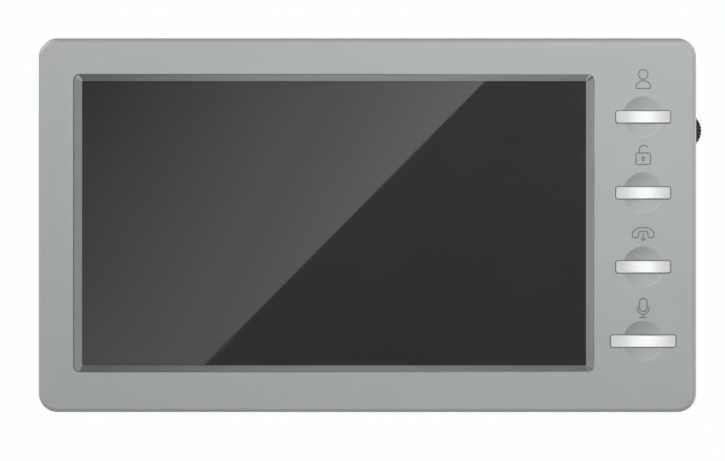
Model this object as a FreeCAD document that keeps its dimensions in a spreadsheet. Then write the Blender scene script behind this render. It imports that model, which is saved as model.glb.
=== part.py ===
"""A wall-hung video intercom monitor with its bracket, modelled piece by piece.

Frame: X to the right, Z up, and the wall is the plane Y = 0. The front of the monitor faces -Y, so a
depth in this file is a distance forward from the wall, which is -Y. The origin is the middle of the
bracket's rear face. Every size is a cell of the spreadsheet, in millimetres.
"""

import FreeCAD, Part
import math
import os
import re

import Sketcher
from FreeCAD import Placement, Rotation, Vector

DIMENSIONS = (
    # casing
    ("body_width", 203.6),
    ("body_height", 115.8),
    ("corner_radius", 5.8),
    ("edge_radius", 1.3),
    ("rear_edge_radius", 2.4),
    ("wall", 2.0),
    ("face_depth", 25.0),
    ("split_depth", 13.0),
    ("back_depth", 2.6),
    ("lip_length", 2.0),
    ("lip_gap", 0.15),
    ("lip_thickness", 1.1),
    ("fit_gap", 0.1),
    # screen
    ("screen_x", -10.35),
    ("screen_z", 0.6),
    ("window_width", 156.1),
    ("window_height", 88.1),
    ("bezel_width", 161.3),
    ("bezel_height", 92.2),
    ("bezel_corner", 1.9),
    ("bezel_rim", 0.2),
    ("bezel_fall", 1.1),
    ("bezel_land", 0.3),
    ("bezel_flange", 2.2),
    ("glass_margin", 1.6),
    ("glass_thickness", 1.5),
    ("gasket_thickness", 0.6),
    ("lcd_width", 165.0),
    ("lcd_height", 100.0),
    ("lcd_thickness", 3.5),
    ("lcd_sheet", 0.3),
    ("lcd_cell_thickness", 1.3),
    ("strap_width", 9.0),
    ("strap_height", 109.6),
    ("strap_thickness", 1.0),
    ("strap_left_x", -70.0),
    ("strap_right_x", 50.0),
    ("strap_boss_top", 53.2),
    ("strap_boss_bottom", -52.6),
    ("strap_boss_radius", 2.2),
    # buttons
    ("button_x", 85.3),
    ("view_z", 33.5),
    ("unlock_z", 10.0),
    ("hangup_z", -12.9),
    ("talk_z", -35.9),
    ("button_length", 16.85),
    ("talk_length", 20.15),
    ("button_height", 3.7),
    ("button_corner", 0.7),
    ("button_gap", 0.3),
    ("button_stand", 0.25),
    ("button_crown", 0.5),
    ("button_edge", 0.25),
    ("button_flange", 1.2),
    ("button_flange_thickness", 1.0),
    ("dish_radius", 6.4),
    ("dish_depth", 1.1),
    # button board
    ("key_board_x", 87.75),
    ("key_board_z", -1.0),
    ("key_board_width", 22.5),
    ("key_board_height", 90.0),
    ("key_board_rear", 15.2),
    ("board_thickness", 1.6),
    ("key_boss_x", 87.0),
    ("key_boss_top", 21.8),
    ("key_boss_middle", -1.5),
    ("key_boss_bottom", -24.4),
    ("key_boss_radius", 2.6),
    ("switch_size", 6.0),
    ("switch_thickness", 3.5),
    ("plunger_radius", 1.7),
    ("plunger_stand", 0.8),
    ("plunger_gap", 0.25),
    # volume wheel
    ("wheel_x", 97.85),
    ("wheel_z", 29.3),
    ("wheel_radius", 5.8),
    ("wheel_thickness", 2.4),
    ("wheel_teeth", 34),
    ("wheel_tooth", 0.32),
    ("wheel_gap", 0.2),
    ("wheel_slot_gap", 0.4),
    ("pivot_radius", 1.2),
    ("pivot_gap", 0.08),
    ("rivet_radius", 2.0),
    ("rivet_head_thickness", 0.5),
    ("rivet_seat_depth", 0.8),
    ("pot_thickness", 1.8),
    ("pot_width", 6.6),
    ("pot_height", 9.0),
    ("pot_offset", 1.9),
    # microphone
    ("mic_depth", 19.15),
    ("mic_radius", 3.0),
    ("mic_length", 2.7),
    ("mic_boot_radius", 3.7),
    ("mic_boot_length", 5.0),
    ("mic_hole_radius", 0.7),
    ("mic_lead_radius", 0.4),
    ("mic_lead_offset", 1.0),
    # casing screws
    ("casing_screw_x", 96.0),
    ("casing_screw_z", 51.2),
    ("casing_boss_radius", 2.8),
    ("casing_tube_radius", 3.2),
    ("casing_seat", 7.0),
    ("casing_pilot", 1.25),
    ("casing_shank", 1.2),
    ("casing_head", 2.1),
    ("head_thickness", 1.4),
    ("small_pilot", 1.0),
    ("small_shank", 0.95),
    ("small_head", 1.9),
    ("small_head_thickness", 1.2),
    ("cross_width", 0.6),
    ("cross_depth", 0.7),
    ("pilot_end", 1.5),
    ("casing_screw_length", 14.0),
    ("strap_screw_length", 4.0),
    ("key_screw_length", 5.5),
    ("board_screw_length", 6.0),
    ("speaker_screw_length", 3.0),
    ("washer_radius", 3.9),
    ("washer_thickness", 0.5),
    # main board
    ("board_x", -9.0),
    ("board_z", 0.0),
    ("board_width", 110.0),
    ("board_height", 72.0),
    ("board_rear", 13.6),
    ("board_screw_left", -60.0),
    ("board_screw_right", 42.0),
    ("board_screw_z", 32.0),
    ("standoff_radius", 2.6),
    ("socket_pitch", 18.0),
    ("socket_width", 13.0),
    ("socket_height", 7.0),
    ("socket_length", 7.0),
    ("power_socket_width", 8.0),
    ("pin_size", 0.64),
    ("pin_pitch", 2.5),
    ("socket_wall", 0.8),
    ("socket_floor", 1.0),
    ("capacitor_radius", 3.2),
    ("capacitor_height", 5.0),
    # cables
    ("flex_x", -10.0),
    ("flex_width", 30.0),
    ("flex_thickness", 0.3),
    ("flex_bend_z", -43.7),
    ("flex_end_z", -34.5),
    ("flex_entry", 0.9),
    ("header_height", 4.0),
    ("header_length", 10.0),
    ("ribbon_width", 8.0),
    ("ribbon_thickness", 0.6),
    ("ribbon_drop", 0.9),
    ("ribbon_left", 42.3),
    ("ribbon_right", 80.2),
    # speaker
    ("speaker_x", -82.5),
    ("speaker_z", 0.0),
    ("speaker_radius", 14.0),
    ("speaker_rim", 1.0),
    ("speaker_gasket_thickness", 0.6),
    ("speaker_ring_gap", 0.3),
    ("speaker_ring_wall", 0.9),
    ("speaker_screw_reach", 17.3),
    ("magnet_radius", 8.0),
    ("magnet_thickness", 3.0),
    ("speaker_boss_radius", 2.1),
    ("speaker_foam_width", 2.0),
    ("basket_wall", 1.2),
    ("basket_sheet", 0.8),
    ("basket_depth", 2.6),
    ("tab_z", 2.0),
    ("speaker_lead_radius", 0.55),
    ("cone_neck", 3.4),
    ("cone_rear", 0.3),
    # rear openings
    ("connector_width", 54.0),
    ("connector_height", 16.0),
    ("vent_width", 1.6),
    ("vent_height", 8.0),
    ("vent_pitch", 5.0),
    ("vent_count", 19),
    ("vent_z", 47.0),
    ("grille_width", 20.0),
    ("grille_slot", 1.4),
    ("grille_pitch", 3.2),
    ("grille_count", 6),
    ("label_x", 78.0),
    ("label_z", -6.0),
    ("label_width", 26.0),
    ("label_height", 44.0),
    ("label_recess", 0.3),
    ("label_thickness", 0.15),
    # wall bracket
    ("bracket_width", 124.0),
    ("bracket_height", 80.0),
    ("bracket_corner", 6.0),
    ("plate_thickness", 1.2),
    ("bracket_window_width", 60.0),
    ("bracket_window_height", 34.0),
    ("hook_x", 50.0),
    ("hook_width", 8.0),
    ("hook_top", 24.0),
    ("hook_bottom", -28.0),
    ("hook_lip", 6.2),
    ("hook_reach_gap", 0.3),
    ("lift_travel", 6.6),
    ("wall_screw_x", 52.0),
    ("wall_screw_z", 10.0),
    ("wall_screw_radius", 2.2),
    ("box_slot_z", 30.0),
    ("box_slot_length", 8.0),
)

BUTTONS = ("view", "unlock", "hangup", "talk")

doc = FreeCAD.newDocument("video_intercom_monitor")
sheet = doc.addObject("Spreadsheet::Sheet", "Dim")
nodes = []


# ---------------------------------------------------------------- sheet


def fill_sheet():
    """One row for each driving dimension: its name, then its value under an alias of that name."""
    for row, (alias, size) in enumerate(DIMENSIONS, 1):
        sheet.set(f"A{row}", alias)
        sheet.set(f"B{row}", str(size))
        sheet.setAlias(f"B{row}", alias)
    doc.recompute()


def bound(text):
    """The expression with the sheet's name before each cell it reads."""
    return re.sub(r"[a-z]\w+", lambda cell: "Dim." + cell.group(), text)


def value(text):
    """What an expression of the sheet's cells comes to."""
    return float(sheet.evalExpression(bound(text)))


# ---------------------------------------------------------------- sketches


def new_body(label):
    """A PartDesign body that is a node of its own, and may hold several separate solids."""
    body = doc.addObject("PartDesign::Body", label)
    body.AllowCompound = True
    nodes.append(body)
    return body


def origin_feature(body, role):
    """One of the body's own origin planes or axes."""
    return next(feature for feature in body.Origin.OriginFeatures if feature.Role == role)


def sketch(body, name, offset, plane="XZ_Plane"):
    """An empty sketch on an origin plane, moved along the plane's normal, which is the depth on XZ."""
    made = body.newObject("Sketcher::SketchObject", name)
    made.AttachmentSupport = (origin_feature(body, plane), [""])
    made.MapMode = "FlatFace"
    made.setExpression("AttachmentOffset.Base.z", bound(offset))
    return made


def hold(made, constraint, text):
    """Adds a dimension to a sketch and binds it to an expression."""
    index = made.addConstraint(constraint)
    made.setExpression(f"Constraints[{index}]", bound(text))


def polygon(made, corners):
    """A closed outline of straight lines through corners, each a pair of expressions."""
    first = made.GeometryCount
    points = [Vector(value(u), value(v), 0) for u, v in corners]
    count = len(points)
    made.addGeometry([Part.LineSegment(points[i], points[(i + 1) % count]) for i in range(count)], False)
    for i, (u, v) in enumerate(corners):
        made.addConstraint(Sketcher.Constraint("Coincident", first + i, 2, first + (i + 1) % count, 1))
        hold(made, Sketcher.Constraint("DistanceX", -1, 1, first + i, 1, value(u)), u)
        hold(made, Sketcher.Constraint("DistanceY", -1, 1, first + i, 1, value(v)), v)


def rectangle(made, centre, width, height, radius=None):
    """A rectangle about centre, with rounded corners where a radius is given."""
    left, right = f"{centre[0]} - ({width}) / 2", f"{centre[0]} + ({width}) / 2"
    low, high = f"{centre[1]} - ({height}) / 2", f"{centre[1]} + ({height}) / 2"
    if radius is None:
        polygon(made, [(left, low), (right, low), (right, high), (left, high)])
        return
    first = made.GeometryCount
    x0, x1, y0, y1 = value(left), value(right), value(low), value(high)
    r = value(radius)
    quarter = math.pi / 2

    def corner(x, y, turn):
        circle_there = Part.Circle(Vector(x, y, 0), Vector(0, 0, 1), r)
        return Part.ArcOfCircle(circle_there, turn * quarter, (turn + 1) * quarter)

    made.addGeometry(
        [
            Part.LineSegment(Vector(x0 + r, y0, 0), Vector(x1 - r, y0, 0)),
            corner(x1 - r, y0 + r, -1),
            Part.LineSegment(Vector(x1, y0 + r, 0), Vector(x1, y1 - r, 0)),
            corner(x1 - r, y1 - r, 0),
            Part.LineSegment(Vector(x1 - r, y1, 0), Vector(x0 + r, y1, 0)),
            corner(x0 + r, y1 - r, 1),
            Part.LineSegment(Vector(x0, y1 - r, 0), Vector(x0, y0 + r, 0)),
            corner(x0 + r, y0 + r, 2),
        ],
        False,
    )
    joined = [Sketcher.Constraint("Tangent", first + i, 2, first + (i + 1) % 8, 1) for i in range(8)]
    level = [Sketcher.Constraint("Horizontal", first + i) for i in (0, 4)]
    plumb = [Sketcher.Constraint("Vertical", first + i) for i in (2, 6)]
    equal = [Sketcher.Constraint("Equal", first + 1, first + i) for i in (3, 5, 7)]
    made.addConstraint(joined + level + plumb + equal)
    hold(made, Sketcher.Constraint("Radius", first + 1, r), radius)
    hold(made, Sketcher.Constraint("DistanceX", -1, 1, first + 6, 1, x0), left)
    hold(made, Sketcher.Constraint("DistanceX", -1, 1, first + 2, 1, x1), right)
    hold(made, Sketcher.Constraint("DistanceY", -1, 1, first, 1, y0), low)
    hold(made, Sketcher.Constraint("DistanceY", -1, 1, first + 4, 1, y1), high)


def circle(made, centre, radius):
    """A circle about centre, a pair of expressions."""
    x, y, r = value(centre[0]), value(centre[1]), value(radius)
    index = made.addGeometry(Part.Circle(Vector(x, y, 0), Vector(0, 0, 1), r), False)
    hold(made, Sketcher.Constraint("Radius", index, r), radius)
    hold(made, Sketcher.Constraint("DistanceX", -1, 1, index, 3, x), centre[0])
    hold(made, Sketcher.Constraint("DistanceY", -1, 1, index, 3, y), centre[1])


# ---------------------------------------------------------------- features


def feature(body, kind, name, profile, length):
    """A Pad or Pocket of a sketch. A Pad grows forward from it, and a Pocket cuts back from it."""
    made = body.newObject(f"PartDesign::{kind}", name)
    made.Profile = profile
    made.setExpression("Length", bound(length))
    profile.Visibility = False
    return made


def round_pieces(body, kind, name, centres, radius, start, length):
    """Round bosses or holes about every centre, made from one sketch at a depth."""
    made = sketch(body, f"{name}_sketch", start)
    for centre in centres:
        circle(made, centre, radius)
    return feature(body, kind, name, made, length)


def square_pieces(body, kind, name, boxes, start, length):
    """Rectangular blocks or openings, each (centre, width, height) or with a corner radius too."""
    made = sketch(body, f"{name}_sketch", start)
    for box in boxes:
        rectangle(made, *box)
    return feature(body, kind, name, made, length)


def repeat(body, original, axis, length, count):
    """The feature again and again along an axis of the body, over a length."""
    made = body.newObject("PartDesign::LinearPattern", f"{original.Name}_row")
    made.Originals = [original]
    made.Direction = (origin_feature(body, axis), [""])
    made.setExpression("Length", bound(length))
    made.setExpression("Occurrences", bound(count))
    body.Tip = made
    return made


def dress(body, kind, name, base, chosen, size):
    """A Fillet or Chamfer of the edges of base that chosen picks out."""
    doc.recompute()
    edges = [f"Edge{i}" for i, edge in enumerate(base.Shape.Edges, 1) if chosen(edge)]
    made = body.newObject(f"PartDesign::{kind}", name)
    made.Base = (base, edges)
    made.setExpression("Radius" if kind == "Fillet" else "Size", bound(size))
    return made


def at_depth(depth, least_length=0.0):
    """Picks the edges that lie wholly at one depth from the wall."""

    def chosen(edge):
        box = edge.BoundBox
        flat = abs(box.YMin + depth) < 1e-4 and abs(box.YMax + depth) < 1e-4
        return flat and edge.Length > least_length

    return chosen


def corners(x, z):
    """The four places at plus and minus x and z."""
    return [(f"{side}{x}", f"{rise}{z}") for side in ("", "-") for rise in ("", "-")]


def lead(points, radius):
    """A round wire through points: straight runs joined by arcs as large as the runs allow."""
    edges, here = [], points[0]
    for before, point, after in zip(points, points[1:], points[2:]):
        back, ahead = (before - point), (after - point)
        turn = math.pi - back.getAngle(ahead)
        cut = 0.45 * min(back.Length, ahead.Length)
        start, end = point + back.normalize() * cut, point + ahead.normalize() * cut
        bend = cut / math.tan(turn / 2)
        middle_way = (start + end) * 0.5 - point
        to_centre = math.hypot(bend, cut)
        middle = point + middle_way.normalize() * (to_centre - bend)
        edges += [Part.LineSegment(here, start).toShape(), Part.Arc(start, middle, end).toShape()]
        here = end
    edges.append(Part.LineSegment(here, points[-1]).toShape())
    path = Part.Wire(edges)
    across = Part.Wire(Part.Circle(points[0], points[1] - points[0], radius).toShape())
    return path.makePipeShell([across], True, False)


def place(x, depth, z):
    """A point of the frame from expressions of its x, its depth from the wall and its z."""
    return Vector(value(x), -value(depth), value(z))


# ---------------------------------------------------------------- casing

SCREEN = ("screen_x", "screen_z")
INNER_FACE = "face_depth - wall"
CASING_SCREWS = corners("casing_screw_x", "casing_screw_z")
STRAP_BOSSES = [
    (x, z) for x in ("strap_left_x", "strap_right_x") for z in ("strap_boss_top", "strap_boss_bottom")
]
HOOKS = [(f"{side}hook_x", z) for side in ("", "-") for z in ("hook_top", "hook_bottom")]
SPEAKER_SCREWS = [("speaker_x", f"speaker_z {side} speaker_screw_reach") for side in "+-"]
KEY_BOSSES = [("key_boss_x", f"key_boss_{which}") for which in ("top", "middle", "bottom")]
KEY_FRONT = "key_board_rear + board_thickness"


def front_casing():
    """The grey front shell: face and side walls, screen aperture, button slots in finger dishes."""
    body = new_body("front_casing")
    full = (("0", "0"), "body_width", "body_height", "corner_radius")
    shell = square_pieces(body, "Pad", "front_shell", [full], "split_depth", "face_depth - split_depth")
    dress(body, "Fillet", "front_edge", shell, at_depth(value("face_depth")), "edge_radius")
    inside = (("0", "0"), "body_width - 2 * wall", "body_height - 2 * wall", "corner_radius - wall")
    square_pieces(body, "Pocket", "front_cavity", [inside], INNER_FACE, "face_depth - wall - split_depth")
    aperture = (
        SCREEN,
        "bezel_width + 2 * fit_gap",
        "bezel_height + 2 * fit_gap",
        "bezel_corner + fit_gap",
    )
    square_pieces(body, "Pocket", "screen_aperture", [aperture], "face_depth", "wall")
    front_casing_bosses(body)
    front_casing_openings(body)


def front_casing_bosses(body):
    """Screw bosses behind the face, for the casing screws, the display straps and the button board."""
    boss_start = "split_depth + lip_length + 0.3"
    round_pieces(
        body, "Pad", "casing_bosses", CASING_SCREWS, "casing_boss_radius", boss_start,
        f"{INNER_FACE} - ({boss_start})",
    )
    round_pieces(
        body, "Pocket", "casing_pilots", CASING_SCREWS, "casing_pilot", f"{INNER_FACE} - pilot_end",
        f"{INNER_FACE} - pilot_end - ({boss_start})",
    )
    round_pieces(
        body, "Pad", "strap_bosses", STRAP_BOSSES, "strap_boss_radius", "lcd_rear",
        f"{INNER_FACE} - lcd_rear",
    )
    round_pieces(
        body, "Pocket", "strap_pilots", STRAP_BOSSES, "small_pilot", f"{INNER_FACE} - pilot_end",
        f"{INNER_FACE} - pilot_end - lcd_rear",
    )
    round_pieces(
        body, "Pad", "key_bosses", KEY_BOSSES, "key_boss_radius", KEY_FRONT, f"{INNER_FACE} - ({KEY_FRONT})"
    )
    round_pieces(
        body, "Pocket", "key_pilots", KEY_BOSSES, "small_pilot", f"{INNER_FACE} - pilot_end",
        f"{INNER_FACE} - pilot_end - ({KEY_FRONT})",
    )


def front_casing_openings(body):
    """Finger dishes, button slots, the slot for the volume wheel and the microphone hole."""
    ball = "(dish_radius * dish_radius + dish_depth * dish_depth) / (2 * dish_depth)"
    for which in BUTTONS:
        dish = body.newObject("PartDesign::SubtractiveSphere", f"{which}_dish")
        dish.AttachmentSupport = (origin_feature(body, "XZ_Plane"), [""])
        dish.MapMode = "FlatFace"
        dish.setExpression("AttachmentOffset.Base.x", bound("button_x"))
        dish.setExpression("AttachmentOffset.Base.y", bound(f"{which}_z"))
        dish.setExpression("AttachmentOffset.Base.z", bound(f"face_depth - dish_depth + {ball}"))
        dish.setExpression("Radius", bound(ball))
    slots = [
        (
            ("button_x", f"{which}_z"),
            f"{button_size(which)} + 2 * button_gap",
            "button_height + 2 * button_gap",
            "button_corner + button_gap",
        )
        for which in BUTTONS
    ]
    square_pieces(body, "Pocket", "button_slots", slots, "face_depth", "wall")
    wheel_slot = (
        ("body_width / 2 - wall / 2", "wheel_z"), "wall + 0.4", "2 * (wheel_radius + wheel_slot_gap)",
    )
    wheel_front = f"{KEY_FRONT} + pot_thickness + wheel_gap + wheel_thickness"
    square_pieces(
        body, "Pocket", "wheel_slot", [wheel_slot], f"{wheel_front} + wheel_slot_gap",
        "wheel_thickness + 2 * wheel_slot_gap",
    )
    hole = body.newObject("PartDesign::SubtractiveCylinder", "microphone_hole")
    hole.AttachmentSupport = (origin_feature(body, "XY_Plane"), [""])
    hole.MapMode = "FlatFace"
    hole.setExpression("AttachmentOffset.Base.x", bound("button_x"))
    hole.setExpression("AttachmentOffset.Base.y", bound("-mic_depth"))
    hole.setExpression("AttachmentOffset.Base.z", bound("-body_height / 2 - 1"))
    hole.setExpression("Radius", bound("mic_hole_radius"))
    hole.setExpression("Height", bound("wall + 2"))


def rear_casing():
    """The rear shell: back wall, side walls with a lip inside the front shell, tubes and openings."""
    body = new_body("rear_casing")
    full = (("0", "0"), "body_width", "body_height", "corner_radius")
    shell = square_pieces(body, "Pad", "rear_shell", [full], "back_depth", "split_depth - back_depth")
    dress(body, "Fillet", "rear_edge", shell, at_depth(value("back_depth")), "rear_edge_radius")
    inset = "(wall + lip_gap + lip_thickness)"
    inside = (
        ("0", "0"), f"body_width - 2 * {inset}", f"body_height - 2 * {inset}", f"corner_radius - {inset}",
    )
    floor = "back_depth + wall"
    square_pieces(body, "Pocket", "rear_cavity", [inside], "split_depth", f"split_depth - ({floor})")
    lip_outline = (
        ("0", "0"),
        "body_width - 2 * (wall + lip_gap)",
        "body_height - 2 * (wall + lip_gap)",
        "corner_radius - wall - lip_gap",
    )
    square_pieces(body, "Pad", "lip", [lip_outline, inside], "split_depth", "lip_length")
    tube_end = "split_depth + lip_length + 0.2"
    round_pieces(
        body, "Pad", "screw_tubes", CASING_SCREWS, "casing_tube_radius", floor, f"{tube_end} - ({floor})"
    )
    round_pieces(
        body, "Pocket", "screw_heads", CASING_SCREWS, "casing_head + 0.2", "casing_seat",
        "casing_seat - back_depth",
    )
    round_pieces(
        body, "Pocket", "screw_holes", CASING_SCREWS, "casing_shank + 0.2", tube_end,
        f"{tube_end} - casing_seat",
    )
    standoffs = board_screws()
    round_pieces(body, "Pad", "standoffs", standoffs, "standoff_radius", floor, f"board_rear - ({floor})")
    round_pieces(
        body, "Pocket", "standoff_pilots", standoffs, "small_pilot", "board_rear", "board_screw_length"
    )
    speaker_ring(body, floor)
    rear_casing_openings(body, floor)


def speaker_ring(body, floor):
    """The round wall that locates the loudspeaker on the back wall."""
    made = sketch(body, "speaker_ring_sketch", floor)
    circle(made, ("speaker_x", "speaker_z"), "speaker_radius + speaker_ring_gap + speaker_ring_wall")
    circle(made, ("speaker_x", "speaker_z"), "speaker_radius + speaker_ring_gap")
    feature(body, "Pad", "speaker_ring", made, "speaker_gasket_thickness + speaker_rim + 0.6")
    height = "speaker_gasket_thickness + speaker_rim + 1.8"
    round_pieces(body, "Pad", "speaker_bosses", SPEAKER_SCREWS, "speaker_boss_radius", floor, height)
    top = f"{floor} + {height}"
    round_pieces(body, "Pocket", "speaker_pilots", SPEAKER_SCREWS, "small_pilot", top, height)


def rear_casing_openings(body, floor):
    """Slots for the bracket's hooks, the connector window, vents, the speaker grille, the label's seat."""
    slot_height = "(lift_travel + 0.2 + plate_thickness + 0.05)"
    hooks = [
        ((x, f"{z} + plate_thickness + 0.05 - {slot_height} / 2"), "hook_width + 1.2", slot_height)
        for x, z in HOOKS
    ]
    square_pieces(body, "Pocket", "hook_slots", hooks, floor, "wall")
    window = (("0", "0"), "connector_width", "connector_height", "2")
    square_pieces(body, "Pocket", "connector_window", [window], floor, "wall")
    for rise, name in (("vent_z", "upper_vent"), ("-vent_z", "lower_vent")):
        first = ("-vent_pitch * (vent_count - 1) / 2", rise)
        vent = (first, "vent_width", "vent_height", "vent_width / 2.05")
        cut = square_pieces(body, "Pocket", name, [vent], floor, "wall")
        repeat(body, cut, "X_Axis", "vent_pitch * (vent_count - 1)", "vent_count")
    slot = (
        ("speaker_x", "speaker_z - grille_pitch * (grille_count - 1) / 2"),
        "grille_width", "grille_slot", "grille_slot / 2.05",
    )
    cut = square_pieces(body, "Pocket", "grille_slots", [slot], floor, "wall")
    repeat(body, cut, "Z_Axis", "grille_pitch * (grille_count - 1)", "grille_count")
    seat = (("label_x", "label_z"), "label_width + 0.4", "label_height + 0.4", "1.7")
    square_pieces(body, "Pocket", "label_seat", [seat], "back_depth + label_recess", "label_recess")


def casing_screws():
    """Four self-tapping screws that go in from the back and hold the two shells together."""
    screws(
        "casing_screws", CASING_SCREWS, "casing_seat - head_thickness", "head_thickness", "casing_head",
        "casing_shank", "casing_screw_length",
    )


def screws(label, centres, head_rear, head_thickness, head, shank, length):
    """Cross-head screws driven forward from behind: heads first, then shanks towards the front."""
    body = new_body(label)
    shank_start = f"{head_rear} + {head_thickness}"
    round_pieces(body, "Pad", f"{label}_heads", centres, head, head_rear, head_thickness)
    round_pieces(body, "Pad", f"{label}_shanks", centres, shank, shank_start, length)
    cross_screw_recess(body, label, centres, f"{head_rear} + cross_depth", head)


def cross_screw_recess(body, label, centres, start, head):
    """A cross recess in every head, as two crossing slots."""
    long_side = f"1.3 * {head}"
    level = [(centre, long_side, "cross_width") for centre in centres]
    upright = [(centre, "cross_width", long_side) for centre in centres]
    square_pieces(body, "Pocket", f"{label}_cross_level", level, start, "cross_depth")
    square_pieces(body, "Pocket", f"{label}_cross_upright", upright, start, "cross_depth")


# ---------------------------------------------------------------- screen


def screen_bezel():
    """The satin frame round the screen: a bevel that falls to the glass, and a flange behind the face."""
    body = new_body("screen_bezel")
    rear = f"{INNER_FACE} - glass_seat"
    outer = (SCREEN, "bezel_width", "bezel_height", "bezel_corner")
    square_pieces(body, "Pad", "bezel_ring", [outer], rear, "wall + glass_seat")
    flange = (SCREEN, "bezel_width + 2 * bezel_flange", "bezel_height + 2 * bezel_flange", "bezel_corner")
    square_pieces(body, "Pad", "bezel_flange_plate", [flange], rear, "glass_seat - 0.05")
    opening = (SCREEN, "window_width", "window_height", "0.3")
    square_pieces(body, "Pocket", "bezel_opening", [opening], "face_depth", "wall + glass_seat")
    outer_edge = sketch(body, "bevel_outer_sketch", "face_depth")
    rectangle(
        outer_edge, SCREEN, "bezel_width - 2 * bezel_rim", "bezel_height - 2 * bezel_rim",
        "bezel_corner - bezel_rim",
    )
    inner_edge = sketch(body, "bevel_inner_sketch", "face_depth - bezel_fall")
    rectangle(inner_edge, SCREEN, "window_width", "window_height", "0.3")
    bevel = body.newObject("PartDesign::SubtractiveLoft", "bevel")
    bevel.Profile = outer_edge
    bevel.Sections = [inner_edge]
    bevel.Ruled = True
    seat = (
        SCREEN,
        "window_width + 2 * glass_margin + 2 * fit_gap",
        "window_height + 2 * glass_margin + 2 * fit_gap",
        "1.1",
    )
    square_pieces(
        body, "Pocket", "glass_seat_pocket", [seat], "face_depth - bezel_fall - bezel_land",
        f"face_depth - bezel_fall - bezel_land - ({rear})",
    )


def screen_pieces():
    """The window and the foam, and the display module: its steel frame, glass cell and backlight."""
    glass = new_body("screen_window")
    pane = (SCREEN, "window_width + 2 * glass_margin", "window_height + 2 * glass_margin", "1")
    square_pieces(glass, "Pad", "pane", [pane], "glass_rear", "glass_thickness")

    foam = new_body("screen_gasket")
    outer = (SCREEN, "window_width + 8", "window_height + 7", "1")
    inner = (SCREEN, "window_width + 1", "window_height + 1", "0.5")
    square_pieces(foam, "Pad", "foam_ring", [outer, inner], "lcd_rear + lcd_thickness", "gasket_thickness")

    frame = new_body("lcd_frame")
    full = (SCREEN, "lcd_width", "lcd_height", "1.5")
    square_pieces(frame, "Pad", "lcd_tray", [full], "lcd_rear", "lcd_thickness")
    hollow = (SCREEN, "lcd_width - 2 * lcd_sheet", "lcd_height - 2 * lcd_sheet", "1.2")
    square_pieces(
        frame, "Pocket", "lcd_hollow", [hollow], "lcd_rear + lcd_thickness", "lcd_thickness - lcd_sheet"
    )
    view = (SCREEN, "window_width + 1.4", "window_height + 1.4", "0.5")
    square_pieces(
        frame, "Pad", "lcd_rim", [hollow, view], "lcd_rear + lcd_thickness - lcd_sheet", "lcd_sheet"
    )

    cell = new_body("lcd_cell")
    leaf = (SCREEN, "lcd_width - 2 * lcd_sheet - 0.2", "lcd_height - 2 * lcd_sheet - 0.2", "1")
    square_pieces(
        cell, "Pad", "glass_sandwich", [leaf],
        "lcd_rear + lcd_thickness - lcd_sheet - lcd_cell_thickness", "lcd_cell_thickness",
    )
    backlight = new_body("lcd_backlight")
    square_pieces(
        backlight, "Pad", "light_guide", [leaf], "lcd_rear + lcd_sheet",
        "lcd_thickness - 2 * lcd_sheet - lcd_cell_thickness",
    )


def lcd_straps():
    """Two steel straps across the back of the display, and the screws that hold them."""
    for side in ("left", "right"):
        strap = new_body(f"lcd_strap_{side}")
        x = f"strap_{side}_x"
        middle = (x, "(strap_boss_top + strap_boss_bottom) / 2")
        rear = "lcd_rear - strap_thickness"
        square_pieces(
            strap, "Pad", f"strap_{side}_plate", [(middle, "strap_width", "strap_height", "2")], rear,
            "strap_thickness",
        )
        holes = [(x, "strap_boss_top"), (x, "strap_boss_bottom")]
        round_pieces(
            strap, "Pocket", f"strap_{side}_holes", holes, "small_pilot + 0.2", "lcd_rear",
            "strap_thickness",
        )
    screws(
        "lcd_strap_screws", STRAP_BOSSES, "lcd_rear - strap_thickness - small_head_thickness",
        "small_head_thickness", "small_head", "small_shank", "strap_screw_length",
    )


# ---------------------------------------------------------------- buttons


def button_size(which):
    """The cell with a button's length: the talk button is the long one."""
    return "talk_length" if which == "talk" else "button_length"


def button(which):
    """A bar-shaped button: a crowned cap through the slot, a flange behind the face and a short stem."""
    body = new_body(f"{which}_button")
    length = button_size(which)
    profile = sketch(body, f"{which}_cap_sketch", f"{which}_z", "XY_Plane")
    crowned_profile(profile, length)
    cap = feature(body, "Pad", f"{which}_cap", profile, "button_height")
    cap.SideType = "Symmetric"

    def upright_corner(edge):
        box = edge.BoundBox
        across = max(box.XLength, box.ZLength)
        return across < 1e-4 and box.YLength > 1

    rounded = dress(body, "Fillet", f"{which}_corners", cap, upright_corner, "button_corner")
    doc.recompute()
    front = value("face_depth + button_stand") - 0.01
    dress(
        body, "Fillet", f"{which}_edge", rounded, lambda edge: -edge.BoundBox.YMax > front, "button_edge"
    )
    flange_front = f"{INNER_FACE} - 0.05"
    flange_rear = f"({flange_front} - button_flange_thickness)"
    flange = (
        ("button_x", f"{which}_z"),
        f"{length} + 2 * button_flange",
        "button_height + 2 * button_flange",
        "0.8",
    )
    square_pieces(body, "Pad", f"{which}_flange", [flange], flange_rear, "button_flange_thickness")
    stem_rear = f"{KEY_FRONT} + switch_thickness + plunger_stand"
    round_pieces(
        body, "Pad", f"{which}_stem", [("button_x", f"{which}_z")], "plunger_radius", stem_rear,
        f"{flange_rear} - ({stem_rear})",
    )


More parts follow.
